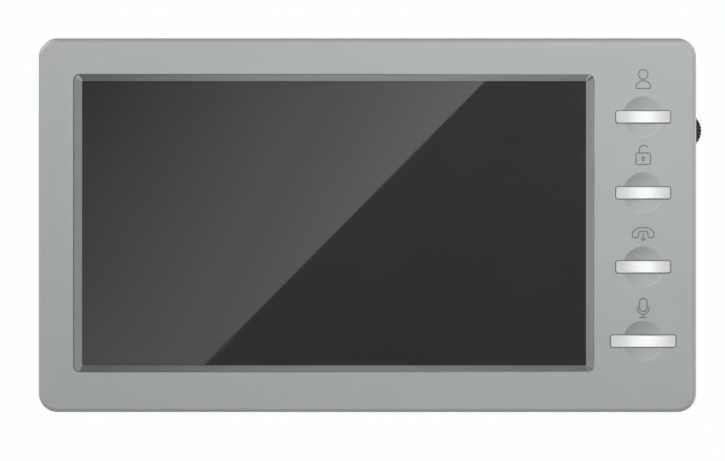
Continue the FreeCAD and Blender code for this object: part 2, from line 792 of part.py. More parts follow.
def crowned_profile(made, length):
    """The cap seen from above: straight sides and a front that bulges in the middle."""
    rear = f"-({INNER_FACE} - 0.05)"
    shoulder = "-(face_depth + button_stand)"
    crown = "-(face_depth + button_stand + button_crown)"
    left, right = f"button_x - {length} / 2", f"button_x + {length} / 2"
    bulge = f"(({length}) * ({length}) / 4 + button_crown * button_crown) / (2 * button_crown)"
    x0, x1, y0, y1, r = value(left), value(right), value(rear), value(shoulder), value(bulge)
    middle = Vector(value("button_x"), value(crown) + r, 0)
    half = math.asin((x1 - x0) / 2 / r)
    down = 1.5 * math.pi
    made.addGeometry(
        [
            Part.LineSegment(Vector(x0, y0, 0), Vector(x1, y0, 0)),
            Part.LineSegment(Vector(x1, y0, 0), Vector(x1, y1, 0)),
            Part.ArcOfCircle(Part.Circle(middle, Vector(0, 0, 1), r), down - half, down + half),
            Part.LineSegment(Vector(x0, y1, 0), Vector(x0, y0, 0)),
        ],
        False,
    )
    for first, end, second, start in ((0, 2, 1, 1), (1, 2, 2, 2), (2, 1, 3, 1), (3, 2, 0, 1)):
        made.addConstraint(Sketcher.Constraint("Coincident", first, end, second, start))
    held = ((0, 1, left, rear), (0, 2, right, rear), (1, 2, right, shoulder), (3, 1, left, shoulder))
    for line, point, u, v in held:
        hold(made, Sketcher.Constraint("DistanceX", -1, 1, line, point, value(u)), u)
        hold(made, Sketcher.Constraint("DistanceY", -1, 1, line, point, value(v)), v)
    hold(made, Sketcher.Constraint("Radius", 2, r), bulge)


def tact_switch(which):
    """A push switch on the button board: a square housing with four legs, and the plunger it guides."""
    centre = ("button_x", f"{which}_z")
    top = f"{KEY_FRONT} + switch_thickness"
    housing = new_body(f"{which}_switch")
    square_pieces(
        housing, "Pad", f"{which}_housing", [(centre, "switch_size", "switch_size", "0.4")], KEY_FRONT,
        "switch_thickness",
    )
    legs = [
        ((f"button_x {side} (switch_size / 2 + 0.3)", f"{which}_z {rise} 2.2"), "0.8", "0.9")
        for side in "+-"
        for rise in "+-"
    ]
    square_pieces(housing, "Pad", f"{which}_legs", legs, KEY_FRONT, "0.6")
    round_pieces(
        housing, "Pocket", f"{which}_guide", [centre], "plunger_radius + plunger_gap", top, "1.9"
    )
    plunger = new_body(f"{which}_plunger")
    round_pieces(
        plunger, "Pad", f"{which}_plunger_pin", [centre], "plunger_radius", f"{top} - 1.2",
        "1.2 + plunger_stand",
    )


def button_board():
    """The narrow board behind the buttons, its plug header, and the screws that hold it to the bosses."""
    body = new_body("button_board")
    outline = (("key_board_x", "key_board_z"), "key_board_width", "key_board_height", "1")
    square_pieces(body, "Pad", "key_board_plate", [outline], "key_board_rear", "board_thickness")
    round_pieces(
        body, "Pocket", "key_board_holes", KEY_BOSSES, "small_pilot + 0.2", KEY_FRONT, "board_thickness"
    )
    screws(
        "button_board_screws", KEY_BOSSES, "key_board_rear - small_head_thickness",
        "small_head_thickness", "small_head", "small_shank", "key_screw_length",
    )


# ---------------------------------------------------------------- volume control


def volume_control():
    """A thumbwheel potentiometer: its base on the button board, the knurled wheel and its rivet."""
    base = new_body("volume_pot_base")
    block = (("wheel_x - pot_offset", "wheel_z"), "pot_width", "pot_height", "0.5")
    square_pieces(base, "Pad", "pot_block", [block], KEY_FRONT, "pot_thickness")
    round_pieces(
        base, "Pocket", "pot_rivet_hole", [("wheel_x", "wheel_z")], "pivot_radius",
        f"{KEY_FRONT} + pot_thickness", "pot_thickness",
    )

    wheel_rear = f"{KEY_FRONT} + pot_thickness + wheel_gap"
    rivet = new_body("volume_rivet")
    centre = [("wheel_x", "wheel_z")]
    round_pieces(
        rivet, "Pad", "rivet_shank", centre, "pivot_radius", KEY_FRONT,
        "pot_thickness + wheel_gap + wheel_thickness - rivet_head_thickness - 0.1",
    )
    round_pieces(
        rivet, "Pad", "rivet_head", centre, "rivet_radius",
        f"{wheel_rear} + wheel_thickness - rivet_head_thickness - 0.1", "rivet_head_thickness",
    )
    volume_wheel(wheel_rear)


def volume_wheel(rear):
    """The wheel, drawn about its own axis: a disc with a toothed rim, a bore and a seat for the rivet."""
    wheel = new_body("volume_wheel")
    middle = [("0", "0")]
    disc = round_pieces(wheel, "Pad", "wheel_disc", middle, "wheel_radius", "0", "wheel_thickness")
    doc.recompute()
    bevelled = dress(wheel, "Chamfer", "wheel_edges", disc, lambda edge: True, "0.3")
    doc.recompute()
    notch = sketch(wheel, "notch_sketch", "wheel_thickness")
    polygon(
        notch,
        [
            ("0", "wheel_radius - wheel_tooth"),
            ("wheel_tooth", "wheel_radius + 0.1"),
            ("-wheel_tooth", "wheel_radius + 0.1"),
        ],
    )
    cut = feature(wheel, "Pocket", "notch", notch, "wheel_thickness")
    doc.recompute()
    rim = wheel.newObject("PartDesign::PolarPattern", "knurl")
    rim.Originals = [cut]
    rim.Axis = (origin_feature(wheel, "Y_Axis"), [""])
    rim.Angle = 360
    rim.setExpression("Occurrences", bound("wheel_teeth"))
    wheel.Tip = rim
    round_pieces(
        wheel, "Pocket", "wheel_bore", middle, "pivot_radius + pivot_gap", "wheel_thickness",
        "wheel_thickness",
    )
    round_pieces(
        wheel, "Pocket", "rivet_seat", middle, "rivet_radius + 0.3", "wheel_thickness", "rivet_seat_depth"
    )
    wheel.Placement = Placement(place("wheel_x", rear, "wheel_z"), Rotation())
    wheel.setExpression("Placement.Base.x", bound("wheel_x"))
    wheel.setExpression("Placement.Base.y", bound(f"-({rear})"))
    wheel.setExpression("Placement.Base.z", bound("wheel_z"))


# ---------------------------------------------------------------- sound


def microphone():
    """The capsule in its rubber boot above the hole in the bottom wall, and its two leads."""
    floor = "-(body_height / 2 - wall)"
    middle = [("button_x", "-mic_depth")]
    boot = new_body("microphone_boot")
    outer = sketch(boot, "boot_sketch", floor, "XY_Plane")
    circle(outer, middle[0], "mic_boot_radius")
    feature(boot, "Pad", "boot_sleeve", outer, "mic_boot_length")
    seat = sketch(boot, "boot_seat_sketch", f"{floor} + mic_boot_length", "XY_Plane")
    circle(seat, middle[0], "mic_radius")
    feature(boot, "Pocket", "boot_seat", seat, "mic_boot_length - 1")
    port = sketch(boot, "boot_port_sketch", f"{floor} + 1", "XY_Plane")
    circle(port, middle[0], "mic_hole_radius")
    feature(boot, "Pocket", "boot_port", port, "1")

    capsule = new_body("microphone_capsule")
    can = sketch(capsule, "capsule_sketch", f"{floor} + 1", "XY_Plane")
    circle(can, middle[0], "mic_radius")
    feature(capsule, "Pad", "capsule_can", can, "mic_length")

    wires = doc.addObject("Part::Feature", "microphone_leads")
    shapes = []
    for side in "+-":
        x = f"button_x {side} mic_lead_offset"
        route = [
            place(x, "mic_depth", f"{floor} + 1 + mic_length"),
            place(x, "mic_depth", f"{floor} + mic_boot_length + 1"),
            place(x, f"{KEY_FRONT} + 0.45", "key_board_z - key_board_height / 2 + 1"),
            place(x, f"{KEY_FRONT} + 0.45", "key_board_z - key_board_height / 2 + 4.5"),
        ]
        shapes.append(lead(route, value("mic_lead_radius")))
    wires.Shape = Part.makeCompound(shapes)
    nodes.append(wires)


def loudspeaker():
    """The loudspeaker, which fires through the back: gasket, basket, paper cone, magnet and leads."""
    centre = ("speaker_x", "speaker_z")
    floor = "back_depth + wall"
    basket_rear = f"{floor} + speaker_gasket_thickness"
    foam = new_body("speaker_gasket")
    ring = sketch(foam, "speaker_gasket_sketch", floor)
    circle(ring, centre, "speaker_radius")
    circle(ring, centre, "speaker_radius - speaker_foam_width")
    feature(foam, "Pad", "speaker_gasket_ring", ring, "speaker_gasket_thickness")

    basket = new_body("speaker_basket")
    rim = sketch(basket, "basket_rim_sketch", basket_rear)
    circle(rim, centre, "speaker_radius")
    circle(rim, centre, "speaker_radius - basket_wall")
    feature(basket, "Pad", "basket_rim", rim, "basket_depth")
    back_rear = f"{basket_rear} + basket_depth + 0.2 - basket_sheet"
    back = sketch(basket, "basket_back_sketch", back_rear)
    circle(back, centre, "speaker_radius")
    circle(back, centre, "magnet_radius - 3")
    feature(basket, "Pad", "basket_back", back, "basket_sheet")
    tabs = [
        (("speaker_x + speaker_radius + 0.5", f"speaker_z {side} tab_z"), "1.4", "2.4") for side in "+-"
    ]
    square_pieces(basket, "Pad", "basket_tabs", tabs, back_rear, "basket_sheet")

    magnet = new_body("speaker_magnet")
    magnet_rear = f"{back_rear} + basket_sheet"
    round_pieces(magnet, "Pad", "magnet_ring", [centre], "magnet_radius", magnet_rear, "magnet_thickness")
    round_pieces(
        magnet, "Pad", "magnet_plate", [centre], "magnet_radius - 0.6", f"{magnet_rear} + magnet_thickness",
        "basket_sheet",
    )
    speaker_cone(basket_rear)
    front_screws(
        "speaker_screws", SPEAKER_SCREWS, magnet_rear, "washer_radius", "speaker_screw_length",
        "head_thickness",
    )

    wires = doc.addObject("Part::Feature", "speaker_leads")
    shapes = []
    for side in "+-":
        z = f"speaker_z {side} tab_z"
        route = [
            place("speaker_x + speaker_radius + 1.2", f"{back_rear} + basket_sheet / 2", z),
            place("speaker_x + speaker_radius + 3.6", f"{back_rear} + basket_sheet / 2", z),
            place("speaker_x + speaker_radius + 6", "board_rear - 2.4", z),
            place("speaker_x + speaker_radius + 8", "board_rear - 2.4", z),
        ]
        shapes.append(lead(route, value("speaker_lead_radius")))
    wires.Shape = Part.makeCompound(shapes)
    nodes.append(wires)


def speaker_cone(basket_rear):
    """The paper cone and dust cap inside the basket, turned about the loudspeaker's axis."""
    cone = new_body("speaker_cone")
    profile = sketch(cone, "cone_sketch", "0", "XY_Plane")
    edge, neck, rear = "speaker_radius - 1.6", "cone_neck", "cone_rear"
    polygon(
        profile,
        [
            ("0", f"-({rear} + 0.8)"),
            (neck, f"-({rear} + 1.5)"),
            (edge, f"-{rear}"),
            (edge, f"-({rear} + 0.35)"),
            (neck, f"-({rear} + 1.9)"),
            ("0", f"-({rear} + 1.2)"),
        ],
    )
    turned = cone.newObject("PartDesign::Revolution", "cone_paper")
    turned.Profile = profile
    turned.ReferenceAxis = (origin_feature(cone, "Y_Axis"), [""])
    turned.Angle = 360
    cone.Placement = Placement(place("speaker_x", basket_rear, "speaker_z"), Rotation())
    cone.setExpression("Placement.Base.x", bound("speaker_x"))
    cone.setExpression("Placement.Base.y", bound(f"-({basket_rear})"))
    cone.setExpression("Placement.Base.z", bound("speaker_z"))


# ---------------------------------------------------------------- main board


def board_screws():
    """The places of the main board's four screws."""
    sides = ("board_screw_left", "board_screw_right")
    return [(x, z) for x in sides for z in ("board_screw_z", "-board_screw_z")]


def main_board():
    """The main board on the rear shell's standoffs, with its screws."""
    body = new_body("main_board")
    outline = (("board_x", "board_z"), "board_width", "board_height", "1.5")
    square_pieces(body, "Pad", "board_plate", [outline], "board_rear", "board_thickness")
    front = "board_rear + board_thickness"
    round_pieces(
        body, "Pocket", "board_holes", board_screws(), "small_pilot + 0.2", front, "board_thickness"
    )
    front_screws(
        "main_board_screws", board_screws(), front, "small_head", "board_screw_length",
        "small_head_thickness",
    )


def front_screws(label, centres, seat, head, length, thickness):
    """Cross-head screws driven from the front towards the back, with heads or washers of one radius."""
    body = new_body(label)
    if head != "small_head":
        round_pieces(body, "Pad", f"{label}_washers", centres, head, seat, "washer_thickness")
    round_pieces(body, "Pad", f"{label}_heads", centres, "small_head", seat, thickness)
    round_pieces(body, "Pad", f"{label}_shanks", centres, "small_shank", f"{seat} - {length}", length)
    cross_screw_recess(body, label, centres, f"{seat} + {thickness}", "small_head")


def board_components():
    """What stands on the main board, towards the wall: chips, capacitors, inductors and headers."""
    blocks(
        "main_board_chips",
        [
            ("-32", "22", "14", "14", "1.4"),
            ("-12", "22", "10", "8", "1.0"),
            ("-50", "24", "6", "5", "1.8"),
            ("-50", "-14", "5", "6", "1.5"),
        ],
    )
    blocks("power_inductors", [("4", "23", "7", "7", "3.5"), ("10", "-24", "7", "7", "3.5")])
    capacitors = new_body("capacitors")
    cans = [("17", "24"), ("26", "24"), ("21", "-24")]
    round_pieces(
        capacitors, "Pad", "capacitor_cans", cans, "capacitor_radius", "board_rear - capacitor_height",
        "capacitor_height",
    )
    blocks(
        "board_headers",
        [
            ("-58.5", "0", "4", "8", "3.8"),
            ("42", "0", "5", "10", "4.0"),
            ("-10", "-32.5", "34", "4", "1.4"),
        ],
    )


def blocks(label, pieces):
    """Low blocks on the rear face of the main board, each (x, z, width, height, thickness)."""
    body = new_body(label)
    for number, (x, z, width, height, thickness) in enumerate(pieces, 1):
        box = ((x, z), width, height)
        square_pieces(
            body, "Pad", f"{label}_{number}", [box], f"board_rear - {thickness}", thickness
        )


def sockets():
    """The plug-in sockets for the door stations and the supply, which face the connector window."""
    door = new_body("door_station_sockets")
    door_places = [("-socket_pitch", "0"), ("0", "0")]
    socket_housings(door, "door", door_places, "socket_width")
    power = new_body("power_socket")
    power_places = [("socket_pitch", "0")]
    socket_housings(power, "power", power_places, "power_socket_width")
    pins = new_body("socket_pins")
    square_pieces(
        pins, "Pad", "pins", pin_row(door_places, 4) + pin_row(power_places, 2),
        "board_rear - socket_length + 1.4", "socket_length - socket_floor - 1.4",
    )


def socket_housings(body, name, centres, width):
    """Plastic boxes on the main board, open towards the wall."""
    rear = "board_rear - socket_length"
    shells = [(centre, width, "socket_height") for centre in centres]
    square_pieces(body, "Pad", f"{name}_shells", shells, rear, "socket_length")
    wells = [
        (centre, f"{width} - 2 * socket_wall", "socket_height - 2 * socket_wall") for centre in centres
    ]
    depth = "socket_length - socket_floor"
    square_pieces(body, "Pocket", f"{name}_wells", wells, f"{rear} + {depth}", depth)


def pin_row(centres, count):
    """Square pins in a row about every centre."""
    steps = [number - (count - 1) / 2 for number in range(count)]
    return [
        ((f"{x} + pin_pitch * ({step})", z), "pin_size", "pin_size") for x, z in centres for step in steps
    ]


def cables():
    """The flat cables inside: from the display to the main board, and from there to the button board."""
    flex = new_body("lcd_flex")
    profile = sketch(flex, "flex_sketch", "flex_x", "YZ_Plane")
    half = "flex_thickness / 2"
    low, high = f"flex_bend_z - {half}", f"flex_bend_z + {half}"
    rear, front = f"-(board_rear - flex_entry - {half})", f"-(board_rear - flex_entry + {half})"
    polygon(
        profile,
        [
            ("-lcd_rear", low),
            (rear, low),
            (rear, "flex_end_z"),
            (front, "flex_end_z"),
            (front, high),
            ("-lcd_rear", high),
        ],
    )
    strip = feature(flex, "Pad", "flex_strip", profile, "flex_width")
    strip.SideType = "Symmetric"

    ribbon = new_body("button_ribbon")
    profile = sketch(ribbon, "ribbon_sketch", "0", "XY_Plane")
    from_left, at_left = "-(board_rear - header_height)", "ribbon_left - ribbon_thickness"
    from_right, at_right = "-(key_board_rear - header_height)", "ribbon_right + ribbon_thickness"
    run = "board_rear - header_height - ribbon_drop"
    near, far = f"-({run})", f"-({run} - ribbon_thickness)"
    polygon(
        profile,
        [
            ("ribbon_left", from_left),
            ("ribbon_left", near),
            ("ribbon_right", near),
            ("ribbon_right", from_right),
            (at_right, from_right),
            (at_right, far),
            (at_left, far),
            (at_left, from_left),
        ],
    )
    band = feature(ribbon, "Pad", "ribbon_band", profile, "ribbon_width")
    band.SideType = "Symmetric"

    header = new_body("button_board_header")
    outline = (("ribbon_right + ribbon_thickness / 2", "0"), "5", "header_length")
    square_pieces(
        header, "Pad", "key_header", [outline], "key_board_rear - header_height", "header_height"
    )


# ---------------------------------------------------------------- back of the monitor


def rating_label():
    """The blank label in its seat on the back."""
    body = new_body("rating_label")
    outline = (("label_x", "label_z"), "label_width", "label_height", "1.5")
    square_pieces(
        body, "Pad", "label_sheet", [outline], "back_depth + label_recess - label_thickness",
        "label_thickness",
    )


def wall_bracket():
    """The steel bracket on the wall: a plate with a cable window, screw holes and four upturned hooks."""
    body = new_body("wall_bracket")
    outline = (("0", "0"), "bracket_width", "bracket_height", "bracket_corner")
    square_pieces(body, "Pad", "plate", [outline], "0", "plate_thickness")
    window = (("0", "0"), "bracket_window_width", "bracket_window_height", "3")
    width, ends = "2 * wall_screw_radius", "wall_screw_radius - 0.001"
    slots = [(("0", f"{side}box_slot_z"), width, "box_slot_length", ends) for side in ("", "-")]
    square_pieces(body, "Pocket", "cable_window", [window], "plate_thickness", "plate_thickness")
    square_pieces(body, "Pocket", "box_slots", slots, "plate_thickness", "plate_thickness")
    round_pieces(
        body, "Pocket", "wall_screw_holes", corners("wall_screw_x", "wall_screw_z"), "wall_screw_radius",
        "plate_thickness", "plate_thickness",
    )
    reach = "back_depth + wall + hook_reach_gap"
    blank = "hook_lip + back_depth + wall"
    openings = [
        ((x, f"{z} + plate_thickness + ({blank}) / 2"), "hook_width + 0.6", blank)
        for x, z in HOOKS
    ]
    square_pieces(body, "Pocket", "hook_openings", openings, "plate_thickness", "plate_thickness")
    necks = [((x, f"{z} + plate_thickness / 2"), "hook_width", "plate_thickness") for x, z in HOOKS]
    square_pieces(body, "Pad", "hook_necks", necks, "plate_thickness", reach)
    lips = [((x, f"{z} + hook_lip / 2"), "hook_width", "hook_lip") for x, z in HOOKS]
    square_pieces(body, "Pad", "hook_lips", lips, reach, "plate_thickness")


# ---------------------------------------------------------------- build


def derived_cells():
    """Depths that several pieces share, kept in the sheet as formulas of the driving dimensions."""
    first = len(DIMENSIONS) + 1
    formulas = (
        ("glass_rear", "=face_depth - bezel_fall - bezel_land - 0.05 - glass_thickness"),
        ("glass_seat", "=face_depth - wall - glass_rear"),
        ("lcd_rear", "=glass_rear - gasket_thickness - lcd_thickness"),
    )
    for row, (alias, formula) in enumerate(formulas, first):
        sheet.set(f"A{row}", alias)
        sheet.set(f"B{row}", formula)
        sheet.setAlias(f"B{row}", alias)
    doc.recompute()


def check_objects():
    """Stops the build where an object failed or a piece has no closed, valid solid."""
    failed = [o.Label for o in doc.Objects if {"Invalid", "Error"} & set(o.State)]
    if failed:
        raise RuntimeError(f"failed objects: {failed}")
    for node in nodes:
        shape = node.Shape
        if shape.isNull() or not shape.isValid() or not shape.Solids:
            raise RuntimeError(f"{node.Label} has no valid solid")
        if min(solid.Volume for solid in shape.Solids) <= 0:
            raise RuntimeError(f"{node.Label} has a solid with no volume")


def write_parts():
    """One STEP file for each node, under the node's name."""
    os.makedirs("parts", exist_ok=True)
    for old in os.listdir("parts"):
        if old.endswith(".step"):
            os.remove(os.path.join("parts", old))
    for node in nodes:
        node.Shape.exportStep(os.path.join("parts", f"{node.Label}.step"))
        print(f"{node.Label}: {len(node.Shape.Solids)} solids, {node.Shape.Volume:.1f} mm3")


def main():
    fill_sheet()
    derived_cells()
    front_casing()
    rear_casing()
    casing_screws()
    screen_bezel()
    screen_pieces()
    lcd_straps()
    for which in BUTTONS:
        button(which)
        tact_switch(which)
    button_board()
    volume_control()
    microphone()
    loudspeaker()
    main_board()
    board_components()
    sockets()
    cables()
    rating_label()
    wall_bracket()
    doc.recompute()
    check_objects()
    write_parts()


main()
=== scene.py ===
"""Looks for the wall-hung video intercom monitor: materials, printed key symbols, lights and camera."""

import math

import bpy
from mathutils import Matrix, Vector


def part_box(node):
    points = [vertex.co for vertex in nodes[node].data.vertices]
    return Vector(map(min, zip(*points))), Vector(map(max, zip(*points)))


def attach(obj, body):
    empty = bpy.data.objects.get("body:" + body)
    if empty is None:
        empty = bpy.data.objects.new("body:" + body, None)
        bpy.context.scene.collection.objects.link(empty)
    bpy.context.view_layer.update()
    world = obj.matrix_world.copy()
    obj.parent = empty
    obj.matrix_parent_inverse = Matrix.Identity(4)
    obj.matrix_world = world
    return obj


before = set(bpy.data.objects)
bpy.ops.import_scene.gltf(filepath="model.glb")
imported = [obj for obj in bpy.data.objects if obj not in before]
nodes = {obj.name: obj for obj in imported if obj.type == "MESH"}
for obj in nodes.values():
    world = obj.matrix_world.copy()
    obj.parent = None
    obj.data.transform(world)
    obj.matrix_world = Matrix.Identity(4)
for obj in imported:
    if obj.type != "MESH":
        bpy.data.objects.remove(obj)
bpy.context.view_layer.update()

MM = 0.001
WHITE = (1, 1, 1, 1)
KEYS = ("view", "unlock", "hangup", "talk")
BEVEL_ANGLE = math.radians(22)
# The smoothest lacquer. A roughness that varies across about 0.274 leaves ragged spots in the denoised
# picture, so the lacquers vary above it.
SATIN = 0.285


# ---------------------------------------------------------------- places read from the model


def middle(node):
    """The middle of a CAD node's box."""
    low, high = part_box(node)
    return (low + high) / 2


body_low, body_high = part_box("front_casing")
window_low, window_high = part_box("screen_window")
face_y = body_low.y
window_y = window_low.y


# ---------------------------------------------------------------- node graphs


def add_node(tree, kind, inputs=None, **settings):
    """A new node with settings, its inputs given as values or as sockets to link from."""
    node = tree.nodes.new(kind)
    for key, setting in settings.items():
        setattr(node, key, setting)
    for key, entry in (inputs or {}).items():
        if isinstance(entry, bpy.types.NodeSocket):
            tree.links.new(entry, node.inputs[key])
        else:
            node.inputs[key].default_value = entry
    return node


class Graph:
    """A material whose nodes are added by short calls, with a Principled shader at its end."""

    def __init__(self, name):
        self.material = bpy.data.materials.new(name)
        self.material.use_nodes = True
        self.tree = self.material.node_tree
        self.tree.nodes.clear()
        self.shader = self.add("ShaderNodeBsdfPrincipled")
        self.output = self.add("ShaderNodeOutputMaterial", {"Surface": self.shader.outputs["BSDF"]})
        self.place = self.add("ShaderNodeTexCoord").outputs["Object"]

    def add(self, kind, inputs=None, **settings):
        """A new node in this material."""
        return add_node(self.tree, kind, inputs, **settings)

    def show(self, surface):
        """Makes a socket the material's surface, in place of the Principled shader."""
        self.tree.links.new(surface, self.output.inputs["Surface"])

    def noise(self, size, detail=2.0, stretch=(1, 1, 1)):
        """Noise whose features are about size metres, longer along the axes whose stretch is over 1."""
        scaled = self.add(
            "ShaderNodeVectorMath",
            {0: self.place, 1: tuple(1 / (size * s) for s in stretch)},
            operation="MULTIPLY",
        )
        made = self.add(
            "ShaderNodeTexNoise", {"Vector": scaled.outputs[0], "Scale": 1.0, "Detail": detail}
        )
        return made.outputs["Fac"]

    def ramp(self, value, low, high, to_low=0.0, to_high=1.0, kind="SMOOTHSTEP"):
        """A value mapped from low..high to to_low..to_high, and held at the ends."""
        made = self.add(
            "ShaderNodeMapRange",
            {"Value": value, "From Min": low, "From Max": high, "To Min": to_low, "To Max": to_high},
            interpolation_type=kind,
        )
        return made.outputs["Result"]

    def maths(self, operation, a, b=0.0):
        """One arithmetic step on sockets or numbers."""
        return self.add("ShaderNodeMath", {0: a, 1: b}, operation=operation).outputs[0]

    def mix(self, factor, first, second):
        """A colour between two, by a factor. Sockets 6 and 7 of a Mix node are its colours."""
        made = self.add("ShaderNodeMix", {0: factor, 6: first, 7: second}, data_type="RGBA")
        return made.outputs[2]

    def axis(self, letter):
        """One coordinate of the point, in metres."""
        return self.add("ShaderNodeSeparateXYZ", {0: self.place}).outputs[letter]

    def edges(self, radius, low=0.93, high=0.995):
        """1 on the outside and inside edges of the shape, 0 on its flat parts."""
        rounded = self.add("ShaderNodeBevel", {"Radius": radius}, samples=4).outputs["Normal"]
        flat = self.add("ShaderNodeNewGeometry").outputs["Normal"]
        same = self.add("ShaderNodeVectorMath", {0: rounded, 1: flat}, operation="DOT_PRODUCT")
        return self.ramp(same.outputs["Value"], high, low)

    def bump(self, height, distance, strength=1.0):
        """A bump whose height of 1 stands for distance metres."""
        inputs = {"Height": height, "Distance": distance, "Strength": strength}
        return self.add("ShaderNodeBump", inputs).outputs["Normal"]

    def set(self, **inputs):
        """Sets or links the shader's inputs, an underscore standing for a space."""
        for key, entry in inputs.items():
            socket = self.shader.inputs[key.replace("_", " ")]
            if isinstance(entry, bpy.types.NodeSocket):
                self.tree.links.new(entry, socket)
            else:
                socket.default_value = entry
        return self


def shade(colour, factor):
    """A colour times a factor, as RGBA."""
    return (*(min(c * factor, 1.0) for c in colour[:3]), 1.0)


# ---------------------------------------------------------------- materials


def plastic(
    name, colour, roughness, grain=0.25 * MM, height=0.004 * MM, mottle=0.04, wear=0.08, **more
):
    """Moulded plastic: a fine spark-eroded grain, faint mottling, dust in the pores and lighter edges."""
    g = Graph(name)
    cloud = g.ramp(g.noise(18 * MM, 3.0), 0.3, 0.7)
    base = g.mix(cloud, shade(colour, 1 - mottle), shade(colour, 1 + mottle))
    pores = g.ramp(g.noise(grain * 1.7, 1.0), 0.56, 0.72, 0.0, 0.35)
    base = g.mix(pores, base, shade(colour, 0.9))
    worn = g.maths("MULTIPLY", g.edges(0.35 * MM), g.ramp(g.noise(2.2 * MM), 0.35, 0.65, 0.2, 1.0))
    base = g.mix(g.maths("MULTIPLY", worn, wear * 4), base, shade(colour, 1.25))
    rough = g.ramp(g.noise(6 * MM, 3.0), 0.25, 0.75, roughness - 0.04, roughness + 0.04)
    fine = g.bump(g.noise(grain, 2.0), height)
    return g.set(Base_Color=base, Roughness=rough, Normal=fine, **more)


def front_paint():
    """The front shell's silver-grey paint: metal flakes under a satin finish, with painted shade at its top
    and left rims and in its dishes.
    """
    colour = (0.43, 0.445, 0.448)
    g = plastic(
        "silver_grey_paint", colour, 0.42, grain=0.22 * MM, height=0.003 * MM, mottle=0.01, wear=0.0
    )
    painted = g.shader.inputs["Base Color"].links[0].from_socket
    flakes = g.ramp(g.noise(0.12 * MM, 1.0), 0.62, 0.72, 0.0, 0.15)
    painted = g.mix(flakes, painted, shade(colour, 1.3))
    behind_face = g.maths("SUBTRACT", g.axis("Y"), face_y)
    # Painted shade: the dishes and all surfaces just behind the face are painted a little darker, as shade
    # in the recesses.
    painted = g.mix(g.ramp(behind_face, 0.02 * MM, 0.3 * MM), painted, shade(colour, 0.94))
    # Painted shade: the rounded rim is painted darker along the left side, and darker still along the top.
    rim_shade_band = g.ramp(behind_face, 1.7 * MM, 1.2 * MM)
    left_rim_shade = g.ramp(g.maths("SUBTRACT", g.axis("X"), body_low.x), 1.3 * MM, 0.1 * MM)
    top_rim_shade = g.ramp(g.maths("SUBTRACT", body_high.z, g.axis("Z")), 1.8 * MM, 0.1 * MM)
    painted = g.mix(g.maths("MULTIPLY", rim_shade_band, left_rim_shade), painted, shade(colour, 0.72))
    painted = g.mix(g.maths("MULTIPLY", rim_shade_band, top_rim_shade), painted, shade(colour, 0.5))
    return g.set(Base_Color=painted)


def bezel_paint():
    """The screen frame's dark silver lacquer, brushed along X, with a thin line of painted shade at its
    rim, next to the gap to the casing.
    """
    colour = (0.298, 0.306, 0.309)
    g = Graph("bezel_lacquer")
    brushed = g.noise(0.25 * MM, 2.0, (30, 1, 1))
    base = g.mix(g.ramp(brushed, 0.3, 0.7), shade(colour, 0.97), shade(colour, 1.03))
    # Painted shade: the frame's rim at the face is painted darker, as shade in the gap to the casing.
    base = g.mix(g.ramp(g.axis("Y"), face_y + 0.06 * MM, face_y + 0.02 * MM), base, shade(colour, 0.6))
    rough = g.ramp(g.noise(4 * MM, 3.0), 0.3, 0.7, SATIN, 0.315)
    g.set(Base_Color=base, Roughness=rough, Metallic=0.85)
    g.set(Normal=g.bump(brushed, 0.001 * MM, 0.4))
    return g


def window_acrylic():
    """Smoked acrylic with a hard polish: deep grey, a few faint wipe marks and specks of dust."""
    g = Graph("smoked_acrylic")
    dust = g.ramp(g.noise(0.35 * MM, 2.0), 0.76, 0.82)
    cloud = g.ramp(g.noise(40 * MM, 2.0), 0.3, 0.7)
    depth = g.mix(cloud, (0.028, 0.028, 0.0282, 1), (0.0302, 0.0302, 0.0304, 1))
    wiped = g.ramp(g.noise(9 * MM, 3.0, (3, 1, 1)), 0.5, 0.8, 0.012, 0.03)
    g.set(Base_Color=g.mix(g.maths("MULTIPLY", dust, 0.1), depth, (0.2, 0.2, 0.2, 1)))
    g.set(Roughness=g.maths("ADD", wiped, g.maths("MULTIPLY", dust, 0.2)), IOR=1.49)
    return g


def pearl():
    """The keys' pearl-silver lacquer: smooth, with faint fine flakes, and painted dark grey behind the face
    as shade in the gap round each key.
    """
    colour = (0.63, 0.634, 0.638)
    g = Graph("pearl_silver")
    flakes = g.ramp(g.noise(0.06 * MM, 1.0), 0.4, 0.7)
    base = g.mix(flakes, shade(colour, 0.985), shade(colour, 1.015))
    # Painted shade: what shows of a key behind the face, in the gap round it, is painted dark grey.
    gap_shade = g.ramp(g.axis("Y"), face_y + 0.5 * MM, face_y + 0.8 * MM)
    base = g.mix(gap_shade, base, shade(colour, 0.22))
    rough = g.ramp(g.noise(5 * MM, 2.0), 0.3, 0.7, SATIN, 0.3)
    return g.set(Base_Color=base, Roughness=rough, Metallic=0.35)


def metal(name, colour, roughness, brushed=(1, 1, 1), spangle=0.0, grime=0.25):
    """Bare or plated metal: brushing or spangle, patches of grime and lighter edges."""
    g = Graph(name)
    grain = g.noise(0.3 * MM, 3.0, brushed)
    base = g.mix(g.ramp(grain, 0.25, 0.75), shade(colour, 0.88), shade(colour, 1.08))
    rough = g.ramp(grain, 0.25, 0.75, roughness - 0.06, roughness + 0.08)
    if spangle:
        crystal_size = 1.6 * MM
        crystals = g.add("ShaderNodeTexVoronoi", {"Vector": g.place, "Scale": 1 / crystal_size})
        tone = g.add("ShaderNodeSeparateColor", {0: crystals.outputs["Color"]}).outputs[0]
        base = g.mix(g.maths("MULTIPLY", tone, spangle), base, shade(colour, 0.75))
        rough = g.maths("ADD", rough, g.maths("MULTIPLY", tone, 0.08))
    dirt = g.maths("MULTIPLY", g.ramp(g.noise(5 * MM, 4.0), 0.55, 0.8), grime)
    base = g.mix(dirt, base, shade(colour, 0.45))
    base = g.mix(g.maths("MULTIPLY", g.edges(0.3 * MM), 0.4), base, shade(colour, 1.3))
    g.set(Base_Color=base, Roughness=rough, Metallic=1.0)
    g.set(Normal=g.bump(grain, 0.004 * MM, 0.5))
    return g


